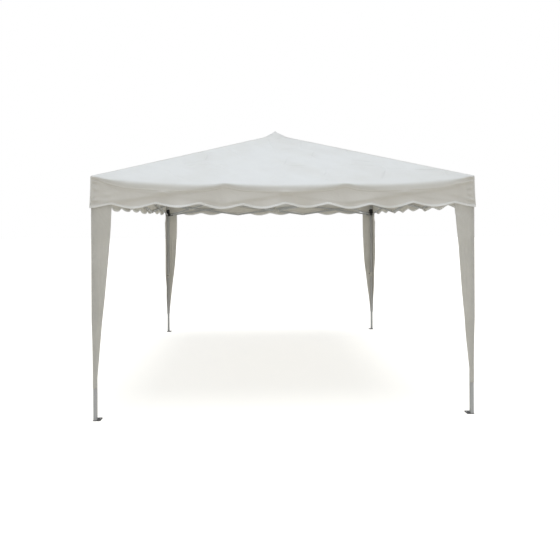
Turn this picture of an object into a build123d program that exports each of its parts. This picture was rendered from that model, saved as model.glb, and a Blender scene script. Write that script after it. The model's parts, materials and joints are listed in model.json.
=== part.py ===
"""Pop up canopy: a square folding frame of scissor bars on four legs, under one sewn cover.

Millimetres, +Z up. The origin is on the ground, in the middle of the four legs, and the frame is open.
Every bar lies at one angle to the ground, so the legs, sliders and hub only move along straight lines
as the frame folds. The whole frame repeats every quarter turn.
"""
from build123d import *
import os
from math import atan2, cos, degrees, hypot, radians, sin, sqrt

os.makedirs("parts", exist_ok=True)

# ---- the open frame
LEG_SPACING = 2950.0  # between leg axes along a side
TOP_LEVEL = 1814.0  # height of the top pivots
TRUSS_DEPTH = 140.0  # from the top pivots down to the bottom pivots
PAIRS = 3  # scissor pairs along a side
PIVOT_REACH = 60.0  # leg axis to the pivots of its two side trusses
CORNER_REACH = 48.0  # leg axis to the pivots of its corner truss
FOLD_LIMIT = 87.0  # the bars' angle to the ground when the frame is folded, degrees

# ---- scissor bars, their end plugs and rivets
BAR_HEIGHT = 20.0
BAR_THICKNESS = 10.0
BAR_WALL = 1.0
BAR_ROUND = 2.0  # outer corner radius of the tube
LAYER_GAP = 1.0  # between the falling and the rising bars of a truss
PLUG_HEAD = 14.0  # from the pivot to the end of the tube
PLUG_INSERT = 25.0
PLUG_FIT = 0.1
OVERLAP = 1.0  # of two volumes that are joined into one solid
PIN_RADIUS = 3.0
PIN_FIT = 0.08  # radial
PIN_PLAY = 0.2  # under each rivet head
RIVET_HEAD_RADIUS = 5.5
RIVET_HEAD_HEIGHT = 2.0
WASHER_RADIUS = 7.0
WASHER_PLAY = 0.1

# ---- moulded clevises of the brackets, sliders and hub
EAR_THICKNESS = 4.0
EAR_RADIUS = 12.0
EAR_PLAY = 0.2  # between a bar and each ear
WEB_PLAY = 1.5  # between a bar's round end and the web behind it

# ---- legs
UPPER_TUBE = 30.0
UPPER_WALL = 1.2
LOWER_TUBE = 25.0
LOWER_WALL = 1.2
TUBE_ROUND = 2.0
UPPER_LEG_TOP = 1862.0
LOWER_LEG_TOP = 995.0
MOULDING = 37.0  # outer width of the brackets, collars and sliders
MOULDING_ROUND = 4.0
TUBE_FIT = 0.1  # between a fixed moulding and the tube inside it
SLIDER_FIT = 0.3
BRACKET_DROP = 24.0  # bracket below the top pivots
BRACKET_CROWN = 13.0  # bracket above the upper tube
COLLAR_HEIGHT = 60.0
COLLAR_LIP = 6.0  # below the upper tube, guiding the lower one
COLLAR_GAP = 17.0  # up to the slider when the frame is folded
GUIDE_FIT = 0.3
GLIDE_HEIGHT = 25.0
SLIDER_DROP = 16.0  # slider below its pivots
SLIDER_RISE = 74.0  # slider above its pivots

# ---- feet
FOOT_SIZE = 60.0
FOOT_THICKNESS = 3.0
FOOT_ROUND = 9.0
FOOT_OVERHANG = 17.0  # outwards, from the leg axis
PEG_HOLE_RADIUS = 6.0
PEG_HOLE_INSET = 15.0  # from the foot's two inner edges

# ---- push buttons on the sliders and collars
BUTTON_OVER_PIVOTS = 50.0  # on a slider
BUTTON_OVER_FOOT = 32.0  # on a collar, above the upper tube's lower end
BUTTON_RADIUS = 6.5
BUTTON_TRAVEL = 4.5
BUTTON_FLANGE_RADIUS = 8.0
BUTTON_FLANGE = 2.0
BUTTON_PROUD = 5.0
BUTTON_ROUND = 2.0
BUTTON_FIT = 0.3
BUTTON_PIN_RADIUS = 2.5
BUTTON_PIN_TIP = 0.7  # left between the pressed pin and the tube
BOSS_RADIUS = 11.0
BOSS_LIP = 3.0

# ---- hub and peak pole
HUB_RADIUS = 20.0
HUB_DROP = 20.0
HUB_RISE = 40.0
POLE_RADIUS = 11.0
POLE_WALL = 1.2
POLE_FIT = 0.1
POLE_TOP = 2360.0
HUB_BOLT_RISE = 28.0
HUB_BOLT_RADIUS = 2.5
HUB_BOLT_HEAD_RADIUS = 4.5
HUB_BOLT_HEAD = 3.5
PLUNGER_RADIUS = 7.0
PLUNGER_LENGTH = 330.0
PLUNGER_FLANGE_RADIUS = 9.4
PLUNGER_FLANGE = 6.0
BUSH_RADIUS = 13.5
BUSH_HEIGHT = 12.0
BUSH_INSERT = 20.0
CAP_RADIUS = 18.0
CAP_HEIGHT = 14.0

# ---- cover
PEAK_HEIGHT = 2560.0
PEAK_TIP = 40.0  # how far the pole lifts the peak over the line of the hips
PEAK_TIP_SHARE = 0.07  # of the way from the peak to the eaves
CAP_CLEARANCE = 6.5  # under the point of the peak, where the cover is steepest
CLOTH = 1.0
COVER_OFFSET = 19.0  # leg axis to the inside of the leg drapes
CORNER_LIFT = 5.0  # cover over the bracket at a corner
EAVE_LIFT = 2.5  # cover over the bars' top pivots
EAVE_DIPS = [(42.0, 1879.0), (230.0, 1830.0), (830.0, 1803.0)]  # from a corner, and the height there
EAVE_MIDDLE = 1800.0
HEM_LEVEL = 1664.0  # of the cusps between the scallops
SCALLOPS = 9
SCALLOP_DEPTH = 33.0
DRAPE_EDGE = [  # width of a wing and its level, from the top to the foot
    (163.0, 1700.0),
    (137.0, 1250.0),
    (105.0, 920.0),
    (58.0, 600.0),
    (34.0, 330.0),
    (30.0, 250.0),
]

# ---- worked out from the driving dimensions
PAIR_RUN = (LEG_SPACING - 2 * PIVOT_REACH) / PAIRS
BAR_LENGTH = hypot(PAIR_RUN, TRUSS_DEPTH)
OPEN_ANGLE = atan2(TRUSS_DEPTH, PAIR_RUN)
BOTTOM_LEVEL = TOP_LEVEL - TRUSS_DEPTH
FOLDED_LEVEL = TOP_LEVEL - BAR_LENGTH * sin(radians(FOLD_LIMIT))
# the upper tube reaches down to the collar, just under the folded slider
UPPER_LEG_FOOT = round(FOLDED_LEVEL - SLIDER_DROP - COLLAR_GAP - COLLAR_HEIGHT + COLLAR_LIP)
# a corner truss closes with the side trusses at every angle only with these two lengths
CORNER_BAR_LENGTH = PAIRS * BAR_LENGTH / (2 * sqrt(2))
HUB_REACH = sqrt(2) * PIVOT_REACH - CORNER_REACH
LAYER_OFFSET = (BAR_THICKNESS + LAYER_GAP) / 2
STACK = LAYER_OFFSET + BAR_THICKNESS / 2 + PIN_PLAY  # from a truss's middle to under a rivet head
EAR_FACE = BAR_THICKNESS / 2 + EAR_PLAY
PIN_HOLE = PIN_RADIUS + PIN_FIT
BRACKET_TOP = UPPER_LEG_TOP + BRACKET_CROWN
PEAK_CAP_TOP = PEAK_HEIGHT - CLOTH - CAP_CLEARANCE
UPPER_BORE = UPPER_TUBE - 2 * UPPER_WALL
COVER_HALF = LEG_SPACING / 2 + COVER_OFFSET + 2 * CLOTH  # drape and valance lie face to face

LEGS = ["front_left", "front_right", "back_right", "back_left"]
SIDES = ["front", "right", "back", "left"]  # each runs from the leg of its number to the next


def save(name, piece):
    """Labels a finished piece and writes its file."""
    piece.part.label = name
    export_step(piece.part, f"parts/{name}.step")


# ---- planes


def quarter(turn):
    """The world's frame after this many quarter turns about the middle of the canopy."""
    angle = 90.0 * turn
    return Plane(origin=(0, 0, 0), x_dir=(round(cos(radians(angle))), round(sin(radians(angle))), 0))


def leg_frame(turn):
    """On a leg's axis at the ground: X along the side that starts here, Y along the side that ends here."""
    frame = quarter(turn)
    corner = frame.from_local_coords((-LEG_SPACING / 2, -LEG_SPACING / 2, 0))
    return Plane(origin=corner, x_dir=frame.x_dir)


def side_truss(turn):
    """X along a side from its first leg, Y up from the top pivots, Z outwards."""
    leg = leg_frame(turn)
    origin = leg.from_local_coords((0, 0, TOP_LEVEL))
    return Plane(origin=origin, x_dir=leg.x_dir, z_dir=-leg.y_dir)


def corner_truss(turn):
    """X from a leg to the middle of the canopy, Y up from the top pivots, Z towards the side that starts here."""
    leg = leg_frame(turn)
    origin = leg.from_local_coords((0, 0, TOP_LEVEL))
    return Plane(origin=origin, x_dir=leg.x_dir + leg.y_dir, z_dir=leg.x_dir - leg.y_dir)


def pivot_at(truss, x, y, back):
    """A plane on a pivot of a truss: X towards what carries the pivot, Z as the truss has it."""
    return Plane(origin=truss.from_local_coords((x, y, 0)), x_dir=truss.x_dir * back, z_dir=truss.z_dir)


# ---- what repeats: rivets, bars and clevises, each added to the part that is open


def add_rivet(pivot, low, high):
    """A rivet with domed heads, along Z of the pivot's plane, gripping from low to high."""
    profile = Plane(origin=pivot.origin, x_dir=pivot.x_dir, z_dir=pivot.x_dir.cross(pivot.z_dir))
    bottom = low - RIVET_HEAD_HEIGHT
    top = high + RIVET_HEAD_HEIGHT
    with BuildSketch(profile) as outline:
        with BuildLine():
            TangentArc((0, bottom), (RIVET_HEAD_RADIUS, low), tangent=(1, 0))
            Polyline((RIVET_HEAD_RADIUS, low), (PIN_RADIUS, low), (PIN_RADIUS, high))
            Line((PIN_RADIUS, high), (RIVET_HEAD_RADIUS, high))
            TangentArc((0, top), (RIVET_HEAD_RADIUS, high), tangent=(1, 0))
            Line((0, top), (0, bottom))
        make_face()
    revolve(outline.sketch, axis=Axis(pivot.origin, pivot.z_dir))


def add_bar_rivet(pivot):
    """The rivet and the spacing washer where a falling and a rising bar cross or join."""
    add_rivet(pivot, -STACK, STACK)
    thickness = LAYER_GAP - 2 * WASHER_PLAY
    with BuildSketch(pivot) as outline:
        Circle(WASHER_RADIUS)
        Circle(PIN_HOLE, mode=Mode.SUBTRACT)
    extrude(outline.sketch, amount=thickness / 2, both=True)


def add_clevis_rivet(pivot, layer):
    """The rivet through a bar's end and the two ears that hold it."""
    reach = EAR_FACE + EAR_THICKNESS + PIN_PLAY
    middle = layer * LAYER_OFFSET
    add_rivet(pivot, middle - reach, middle + reach)


def add_clevis(pivot, layer, reach):
    """Two ears round a bar's end, on a web that runs to reach, towards what carries them."""
    middle = layer * LAYER_OFFSET
    for side in (-1, 1):
        with BuildSketch(pivot.offset(middle + side * (EAR_FACE + EAR_THICKNESS / 2))) as outline:
            Circle(EAR_RADIUS)
            Rectangle(reach, 2 * EAR_RADIUS, align=(Align.MIN, Align.CENTER))
            Circle(PIN_HOLE, mode=Mode.SUBTRACT)
        extrude(outline.sketch, amount=EAR_THICKNESS / 2, both=True)
    web_start = BAR_HEIGHT / 2 + WEB_PLAY
    with BuildSketch(pivot.offset(middle)) as outline:
        with Locations((web_start, 0)):
            Rectangle(reach - web_start, 2 * EAR_RADIUS, align=(Align.MIN, Align.CENTER))
    extrude(outline.sketch, amount=EAR_FACE, both=True)


def add_end_plug(pivot):
    """A moulded plug with a round head, its insert inside the tube. X points into the bar."""
    with BuildSketch(pivot) as outline:
        Circle(BAR_HEIGHT / 2)
        Rectangle(PLUG_HEAD - PLUG_FIT, BAR_HEIGHT, align=(Align.MIN, Align.CENTER))
    extrude(outline.sketch, amount=BAR_THICKNESS / 2, both=True)
    start = pivot.from_local_coords((PLUG_HEAD - OVERLAP, 0, 0))
    slack = 2 * (BAR_WALL + PLUG_FIT)
    with BuildSketch(Plane(origin=start, x_dir=pivot.z_dir, z_dir=pivot.x_dir)) as outline:
        RectangleRounded(BAR_THICKNESS - slack, BAR_HEIGHT - slack, BAR_ROUND - BAR_WALL)
    extrude(outline.sketch, amount=PLUG_INSERT)


def make_bar(truss, start, end, layer, holes=(), bar_pins=(), clevis_pins=()):
    """A flat steel tube with plugged ends, from start to end in the truss's own plane.

    holes, bar_pins and clevis_pins are distances along the bar: plain holes, rivets that it shares with
    another bar, and rivets that hold it in a clevis.
    """
    first = truss.from_local_coords((*start, 0))
    last = truss.from_local_coords((*end, 0))
    length = (last - first).length
    middle = Plane(origin=first, x_dir=last - first, z_dir=truss.z_dir)
    body = middle.offset(layer * LAYER_OFFSET)
    section_origin = body.from_local_coords((PLUG_HEAD, 0, 0))
    with BuildPart() as bar:
        with BuildSketch(Plane(origin=section_origin, x_dir=body.z_dir, z_dir=body.x_dir)):
            RectangleRounded(BAR_THICKNESS, BAR_HEIGHT, BAR_ROUND)
            inside = (BAR_THICKNESS - 2 * BAR_WALL, BAR_HEIGHT - 2 * BAR_WALL)
            RectangleRounded(*inside, BAR_ROUND - BAR_WALL, mode=Mode.SUBTRACT)
        extrude(amount=length - 2 * PLUG_HEAD)
        add_end_plug(body)
        far_end = body.from_local_coords((length, 0, 0))
        add_end_plug(Plane(origin=far_end, x_dir=-body.x_dir, z_dir=body.z_dir))
        with BuildSketch(body):
            with Locations(*[(along, 0) for along in (0, length, *holes)]):
                Circle(PIN_HOLE)
        extrude(amount=BAR_THICKNESS, both=True, mode=Mode.SUBTRACT)
        for along in bar_pins:
            add_bar_rivet(Plane(origin=middle.from_local_coords((along, 0, 0)), z_dir=middle.z_dir))
        for along in clevis_pins:
            pivot = Plane(origin=middle.from_local_coords((along, 0, 0)), z_dir=middle.z_dir)
            add_clevis_rivet(pivot, layer)
    return bar


def add_tube(frame, low, high, width, wall):
    """A square tube on a leg's axis, between two heights."""
    with BuildSketch(frame.offset(low)) as outline:
        RectangleRounded(width, width, TUBE_ROUND)
        inside = width - 2 * wall
        RectangleRounded(inside, inside, TUBE_ROUND - wall, mode=Mode.SUBTRACT)
    extrude(outline.sketch, amount=high - low)


def add_block(frame, low, high):
    """The outside of a moulding round a leg, between two heights."""
    with BuildSketch(frame.offset(low)) as outline:
        RectangleRounded(MOULDING, MOULDING, MOULDING_ROUND)
    extrude(outline.sketch, amount=high - low)


def cut_square(frame, low, high, width):
    """A square hole on a leg's axis, between two heights."""
    with BuildSketch(frame.offset(low)) as outline:
        RectangleRounded(width, width, TUBE_ROUND)
    extrude(outline.sketch, amount=high - low, mode=Mode.SUBTRACT)


# ---- push buttons: X of a button's plane is level, Z points out of the leg along the button

BOSS_FACE = MOULDING / 2 + BOSS_LIP + BUTTON_FLANGE + BUTTON_TRAVEL
POCKET_END = BOSS_FACE - BOSS_LIP


def button_plane(frame, height):
    """On a leg's axis at a button's height, looking out along the side that starts at this leg."""
    origin = frame.from_local_coords((0, 0, height))
    return Plane(origin=origin, x_dir=frame.y_dir, z_dir=frame.x_dir)


def add_boss(at):
    with BuildSketch(at.offset(MOULDING / 2 - OVERLAP)) as outline:
        Circle(BOSS_RADIUS)
    extrude(outline.sketch, amount=BOSS_FACE - MOULDING / 2 + OVERLAP)


def cut_button_pocket(at):
    """A pocket for the button's flange, open towards the tube, and a narrower hole through the lip."""
    with BuildSketch(at.offset(UPPER_TUBE / 2)) as outline:
        Circle(BUTTON_FLANGE_RADIUS + BUTTON_FIT)
    extrude(outline.sketch, amount=POCKET_END - UPPER_TUBE / 2, mode=Mode.SUBTRACT)
    with BuildSketch(at.offset(POCKET_END)) as outline:
        Circle(BUTTON_RADIUS + BUTTON_FIT)
    extrude(outline.sketch, amount=BOSS_LIP, mode=Mode.SUBTRACT)


def make_button(at):
    """A flanged push button with its lock pin. Pressed, the pin's tip stops short of the tube."""
    tip = UPPER_TUBE / 2 + BUTTON_TRAVEL + BUTTON_PIN_TIP
    flange_top = POCKET_END - BUTTON_FIT
    with BuildPart() as button:
        with BuildSketch(at.offset(tip)):
            Circle(BUTTON_PIN_RADIUS)
        extrude(amount=flange_top - tip)
        with BuildSketch(at.offset(flange_top - BUTTON_FLANGE)):
            Circle(BUTTON_FLANGE_RADIUS)
        extrude(amount=BUTTON_FLANGE)
        with BuildSketch(at.offset(flange_top)):
            Circle(BUTTON_RADIUS)
        extrude(amount=BOSS_FACE + BUTTON_PROUD - flange_top)
        top = button.edges().filter_by(GeomType.CIRCLE).sort_by(Axis(at.origin, at.z_dir))[-1]
        fillet(top, radius=BUTTON_ROUND)
    return button


# ---- legs, sliders and buttons


def make_upper_leg(turn):
    """The outer tube, the moulded top bracket with its three clevises, and the collar at its lower end."""
    frame = leg_frame(turn)
    ahead = side_truss(turn)
    behind = side_truss(turn - 1)
    corner = corner_truss(turn)
    with BuildPart() as leg:
        add_block(frame, TOP_LEVEL - BRACKET_DROP, BRACKET_TOP)
        add_clevis(pivot_at(ahead, PIVOT_REACH, 0, -1), 1, PIVOT_REACH)
        add_clevis(pivot_at(behind, LEG_SPACING - PIVOT_REACH, 0, 1), -1, PIVOT_REACH)
        add_clevis(pivot_at(corner, CORNER_REACH, 0, -1), 1, CORNER_REACH)
        cut_square(frame, 0, UPPER_LEG_TOP + TUBE_FIT, UPPER_TUBE + 2 * TUBE_FIT)
        collar_foot = UPPER_LEG_FOOT - COLLAR_LIP
        collar_top = collar_foot + COLLAR_HEIGHT
        button_at = button_plane(frame, UPPER_LEG_FOOT + BUTTON_OVER_FOOT)
        add_block(frame, collar_foot, collar_top)
        add_boss(button_at)
        cut_square(frame, collar_foot, UPPER_LEG_FOOT, LOWER_TUBE + 2 * GUIDE_FIT)
        cut_square(frame, UPPER_LEG_FOOT - TUBE_FIT, collar_top, UPPER_TUBE + 2 * TUBE_FIT)
        cut_button_pocket(button_at)
        add_tube(frame, UPPER_LEG_FOOT, UPPER_LEG_TOP, UPPER_TUBE, UPPER_WALL)
    return leg


def make_lower_leg(turn):
    """The inner tube welded to a foot plate with a peg hole, and the glide that centres its top."""
    frame = leg_frame(turn)
    middle = FOOT_SIZE / 2 - FOOT_OVERHANG
    hole = FOOT_SIZE - FOOT_OVERHANG - PEG_HOLE_INSET
    with BuildPart() as leg:
        with BuildSketch(frame):
            with Locations((middle, middle)):
                RectangleRounded(FOOT_SIZE, FOOT_SIZE, FOOT_ROUND)
            with Locations((hole, hole)):
                Circle(PEG_HOLE_RADIUS, mode=Mode.SUBTRACT)
        extrude(amount=FOOT_THICKNESS)
        add_tube(frame, FOOT_THICKNESS, LOWER_LEG_TOP, LOWER_TUBE, LOWER_WALL)
        with BuildSketch(frame.offset(LOWER_LEG_TOP + PLUG_FIT)):
            RectangleRounded(UPPER_BORE - 2 * GUIDE_FIT, UPPER_BORE - 2 * GUIDE_FIT, TUBE_ROUND)
        extrude(amount=GLIDE_HEIGHT / 2)
        plug = LOWER_TUBE - 2 * (LOWER_WALL + PLUG_FIT)
        with BuildSketch(frame.offset(LOWER_LEG_TOP - GLIDE_HEIGHT)):
            RectangleRounded(plug, plug, TUBE_ROUND - LOWER_WALL)
        extrude(amount=GLIDE_HEIGHT + OVERLAP)
    return leg


def make_slider(turn):
    """The moulded sleeve that carries the lower ends of the bars up and down the upper tube."""
    frame = leg_frame(turn)
    depth = -TRUSS_DEPTH
    low = BOTTOM_LEVEL - SLIDER_DROP
    high = BOTTOM_LEVEL + SLIDER_RISE
    button_at = button_plane(frame, BOTTOM_LEVEL + BUTTON_OVER_PIVOTS)
    with BuildPart() as slider:
        add_block(frame, low, high)
        add_clevis(pivot_at(side_truss(turn), PIVOT_REACH, depth, -1), -1, PIVOT_REACH)
        behind = side_truss(turn - 1)
        add_clevis(pivot_at(behind, LEG_SPACING - PIVOT_REACH, depth, 1), 1, PIVOT_REACH)
        add_clevis(pivot_at(corner_truss(turn), CORNER_REACH, depth, -1), -1, CORNER_REACH)
        add_boss(button_at)
        cut_square(frame, low, high, UPPER_TUBE + 2 * SLIDER_FIT)
        cut_button_pocket(button_at)
    return slider


for turn, leg_name in enumerate(LEGS):
    frame = leg_frame(turn)
    save(f"upper_leg_{leg_name}", make_upper_leg(turn))
    save(f"lower_leg_{leg_name}", make_lower_leg(turn))
    save(f"slider_{leg_name}", make_slider(turn))
    slider_button = make_button(button_plane(frame, BOTTOM_LEVEL + BUTTON_OVER_PIVOTS))
    save(f"slider_button_{leg_name}", slider_button)
    leg_button = make_button(button_plane(frame, UPPER_LEG_FOOT + BUTTON_OVER_FOOT))
    save(f"leg_button_{leg_name}", leg_button)

# ---- side trusses: pair by pair, one bar falls from a top pivot and one rises from a bottom pivot

for turn, side in enumerate(SIDES):
    truss = side_truss(turn)
    for pair in range(PAIRS):
        left = PIVOT_REACH + pair * PAIR_RUN
        right = left + PAIR_RUN
        half = BAR_LENGTH / 2
        # a falling bar carries the rivets at its crossing and at each end, but those in a clevis grip ears
        inner_ends = [along for along, bare in ((0, pair > 0), (BAR_LENGTH, pair < PAIRS - 1)) if bare]
        outer_ends = [along for along in (0, BAR_LENGTH) if along not in inner_ends]
        falling = make_bar(
            truss,
            (left, 0),
            (right, -TRUSS_DEPTH),
            1,
            holes=[half],
            bar_pins=[half, *inner_ends],
            clevis_pins=outer_ends,
        )
        save(f"scissor_{side}_{pair + 1}_falling", falling)
        rising = make_bar(
            truss,
            (left, -TRUSS_DEPTH),
            (right, 0),
            -1,
            holes=[half],
            clevis_pins=outer_ends,
        )
        save(f"scissor_{side}_{pair + 1}_rising", rising)

# ---- corner trusses: a strut from the bracket, an outer bar from the slider, an inner bar to the hub

CORNER_RUN = CORNER_BAR_LENGTH * cos(OPEN_ANGLE)
CORNER_RISE = CORNER_BAR_LENGTH * sin(OPEN_ANGLE)
SHOULDER = (CORNER_REACH + CORNER_RUN, CORNER_RISE - TRUSS_DEPTH)  # where outer and inner bar meet

for turn, leg_name in enumerate(LEGS):
    truss = corner_truss(turn)
    strut = make_bar(
        truss,
        (CORNER_REACH, 0),
        (CORNER_REACH + PAIR_RUN / 2, -TRUSS_DEPTH / 2),
        1,
        bar_pins=[BAR_LENGTH / 2],
        clevis_pins=[0],
    )
    save(f"corner_strut_{leg_name}", strut)
    outer_bar = make_bar(
        truss, (CORNER_REACH, -TRUSS_DEPTH), SHOULDER, -1, holes=[BAR_LENGTH / 2], clevis_pins=[0]
    )
    save(f"corner_bar_outer_{leg_name}", outer_bar)
    inner_bar = make_bar(
        truss,
        SHOULDER,
        (CORNER_REACH + 2 * CORNER_RUN, -TRUSS_DEPTH),
        1,
        bar_pins=[0],
        clevis_pins=[CORNER_BAR_LENGTH],
    )
    save(f"corner_bar_inner_{leg_name}", inner_bar)

# ---- hub: a boss round the peak pole with four clevises

with BuildPart() as center_hub:
    with BuildSketch(Plane.XY.offset(BOTTOM_LEVEL - HUB_DROP)):
        Circle(HUB_RADIUS)
    extrude(amount=HUB_DROP + HUB_RISE)
    for turn in range(4):
        truss = corner_truss(turn)
        pivot = pivot_at(truss, CORNER_REACH + 2 * CORNER_RUN, -TRUSS_DEPTH, 1)
        add_clevis(pivot, 1, HUB_REACH)
    with BuildSketch(Plane.XY.offset(BOTTOM_LEVEL - HUB_DROP)):
        Circle(POLE_RADIUS + POLE_FIT)
    extrude(amount=HUB_DROP + HUB_RISE, mode=Mode.SUBTRACT)
    with BuildSketch(Plane.YZ):
        with Locations((0, BOTTOM_LEVEL + HUB_BOLT_RISE)):
            Circle(HUB_BOLT_RADIUS + PLUG_FIT)
    extrude(amount=HUB_RADIUS, both=True, mode=Mode.SUBTRACT)
save("center_hub", center_hub)

# ---- peak pole: a tube bolted in the hub, with a bush at its top that guides the plunger

POLE_FOOT = BOTTOM_LEVEL - HUB_DROP
BUSH_BORE = PLUNGER_RADIUS + BUTTON_FIT

with BuildPart() as peak_pole:
    with BuildSketch(Plane.XY.offset(POLE_FOOT)):
        Circle(POLE_RADIUS)
        Circle(POLE_RADIUS - POLE_WALL, mode=Mode.SUBTRACT)
    extrude(amount=POLE_TOP - POLE_FOOT)
    with BuildSketch(Plane.YZ):
        with Locations((0, BOTTOM_LEVEL + HUB_BOLT_RISE)):
            Circle(HUB_BOLT_RADIUS + PLUG_FIT)
    extrude(amount=HUB_RADIUS, both=True, mode=Mode.SUBTRACT)
    with BuildSketch(Plane.XY.offset(POLE_TOP - BUSH_INSERT)):
        Circle(POLE_RADIUS - POLE_WALL - PLUG_FIT)
    extrude(amount=BUSH_INSERT + OVERLAP)
    with BuildSketch(Plane.XY.offset(POLE_TOP + PLUG_FIT)):
        Circle(BUSH_RADIUS)
    extrude(amount=BUSH_HEIGHT)
    with BuildSketch(Plane.XY.offset(POLE_TOP - BUSH_INSERT)):
        Circle(BUSH_BORE)
    extrude(amount=BUSH_INSERT + BUSH_HEIGHT + OVERLAP, mode=Mode.SUBTRACT)
    with BuildSketch(Plane.YZ.offset(-HUB_RADIUS - PIN_PLAY)):
        with Locations((0, BOTTOM_LEVEL + HUB_BOLT_RISE)):
            Circle(HUB_BOLT_RADIUS)
    extrude(amount=2 * (HUB_RADIUS + PIN_PLAY))
    for face_offset, outwards in ((HUB_RADIUS + PIN_PLAY, 1), (-HUB_RADIUS - PIN_PLAY, -1)):
        with BuildSketch(Plane.YZ.offset(face_offset)):
            with Locations((0, BOTTOM_LEVEL + HUB_BOLT_RISE)):
                RegularPolygon(HUB_BOLT_HEAD_RADIUS, 6)
        extrude(amount=HUB_BOLT_HEAD * outwards)
save("peak_pole", peak_pole)

# ---- peak cap: the sprung plunger with a mushroom head that holds the cover up

CAP_BASE = PEAK_CAP_TOP - CAP_HEIGHT
PLUNGER_FOOT = CAP_BASE - PLUNGER_LENGTH

with BuildPart() as peak_cap:
    with BuildSketch(Plane.XZ):
        with BuildLine():
            TangentArc((0, PEAK_CAP_TOP), (CAP_RADIUS, CAP_BASE), tangent=(1, 0))
            Polyline(
                (CAP_RADIUS, CAP_BASE),
                (PLUNGER_RADIUS, CAP_BASE),
                (PLUNGER_RADIUS, PLUNGER_FOOT + PLUNGER_FLANGE),
                (PLUNGER_FLANGE_RADIUS, PLUNGER_FOOT + PLUNGER_FLANGE),
                (PLUNGER_FLANGE_RADIUS, PLUNGER_FOOT),
                (0, PLUNGER_FOOT),
                (0, PEAK_CAP_TOP),
            )
        make_face()
    revolve(axis=Axis.Z)
save("peak_cap", peak_cap)

# ---- cover: roof, scalloped valance and four leg drapes, sewn as one

CORNER_EAVE = BRACKET_TOP + CORNER_LIFT
PIVOT_EAVE = TOP_LEVEL + BAR_HEIGHT / 2 + EAVE_LIFT
SUPPORT = LEG_SPACING / 2 - PIVOT_REACH - PAIR_RUN  # the junction of two pairs, from the middle of a side
HALF_EAVE = [(COVER_HALF, CORNER_EAVE), *[(COVER_HALF - run, z) for run, z in EAVE_DIPS], (SUPPORT, PIVOT_EAVE)]
EAVE = [*[(-x, z) for x, z in HALF_EAVE], (0, EAVE_MIDDLE), *reversed(HALF_EAVE)]
DRAPE_HALF = COVER_HALF - CLOTH


def cloth_facet(*corners):
    """A flat piece of cloth under these corners."""
    extrude(Face(Wire.make_polygon([Vector(*corner) for corner in corners])), CLOTH, dir=(0, 0, -1))


def drape_outline(side):
    """One wing of a leg drape, from its top down the free edge and back up the corner."""
    edge = [(side * (DRAPE_HALF - width), level) for width, level in DRAPE_EDGE]
    corner = [(side * DRAPE_HALF, DRAPE_EDGE[-1][1]), (side * DRAPE_HALF, DRAPE_EDGE[0][1])]
    return [*edge, *corner, edge[0]]


with BuildPart() as canopy_cover:
    for turn in range(4):
        frame = quarter(turn)
        hip_peak = Vector(0, 0, PEAK_HEIGHT - PEAK_TIP)
        tip = (0, 0, PEAK_HEIGHT)
        eave = [frame.from_local_coords((x, -COVER_HALF, z)) for x, z in EAVE]
        ring = [hip_peak + (point - hip_peak) * PEAK_TIP_SHARE for point in eave]
        for first in range(len(EAVE) - 1):
            cloth_facet(eave[first], eave[first + 1], ring[first + 1], ring[first])
            cloth_facet(ring[first], ring[first + 1], tip)
        outside = Plane(
            origin=frame.from_local_coords((0, -COVER_HALF, 0)), x_dir=frame.x_dir, z_dir=-frame.y_dir
        )
        scallop = 2 * COVER_HALF / SCALLOPS
        lowest = HEM_LEVEL - SCALLOP_DEPTH
        with BuildSketch(outside):
            with BuildLine():
                Polyline((-COVER_HALF, lowest), *EAVE, (COVER_HALF, lowest))
                # a scallop is lowest at each ninth of a side, so half of one hangs at each corner
                for number in range(1, SCALLOPS):
                    x = -COVER_HALF + number * scallop
                    ThreePointArc((x - scallop / 2, HEM_LEVEL), (x, lowest), (x + scallop / 2, HEM_LEVEL))
                for side in (-1, 1):
                    first_cusp = (side * (COVER_HALF - scallop / 2), HEM_LEVEL)
                    TangentArc((side * COVER_HALF, lowest), first_cusp, tangent=(-side, 0))
            make_face()
        extrude(amount=-CLOTH)
        for side in (-1, 1):
            with BuildSketch(outside.offset(-CLOTH)):
                with BuildLine():
                    Polyline(*drape_outline(side))
                make_face()
            extrude(amount=-CLOTH)
save("canopy_cover", canopy_cover)

print(f"bars {BAR_LENGTH:.1f} and {CORNER_BAR_LENGTH:.1f} mm, open at {degrees(OPEN_ANGLE):.2f} degrees")
print(f"a slider travels from {BOTTOM_LEVEL:.0f} to {FOLDED_LEVEL:.0f} mm above the ground")
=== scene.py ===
# %% [markdown]
# # A pop up canopy, dressed
#
# The rigid frame comes from CAD: legs, sliders, scissor bars, corner trusses, hub and peak pole. This
# lesson gives it what a solid model can't hold: a sewn cover that sags between its supports and shows
# the bars under it, leg drapes, seams, and the finishes of steel, nylon and coated polyester.
#
# Everything is in metres and in the frame's own axes: +Z is up and the front is towards -Y.

import json
from math import cos, hypot, pi, radians, sin, sqrt

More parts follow.
